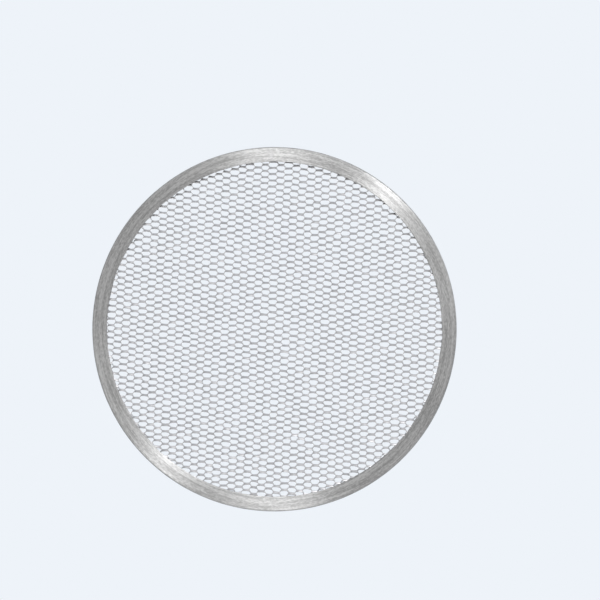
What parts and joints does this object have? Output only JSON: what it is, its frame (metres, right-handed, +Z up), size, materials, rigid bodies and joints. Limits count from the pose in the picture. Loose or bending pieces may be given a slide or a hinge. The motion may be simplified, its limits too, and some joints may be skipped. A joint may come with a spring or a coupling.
{
  "type": "baking screen",
  "caption": "Round flat baking screen: expanded aluminium mesh disc held in a flat folded aluminium rim.",
  "frame": {"origin": "centre of the circle the screen rests on, in the plane of the rim's underside", "axes": "+Z up, square to the screen; the mesh's long cell pitch runs along +X, turned 3.5 degrees clockwise seen from above"},
  "size_m": [0.3048, 0.3048, 0.0031],
  "materials": {
    "brushed_aluminium": "concentrically brushed, satin",
    "mill_aluminium": "mill finish, slit and stretched, bright cut edges"
  },
  "bodies": {
    "root": {"rim": "brushed_aluminium", "mesh_disc": "mill_aluminium"}
  },
  "joints": []
}
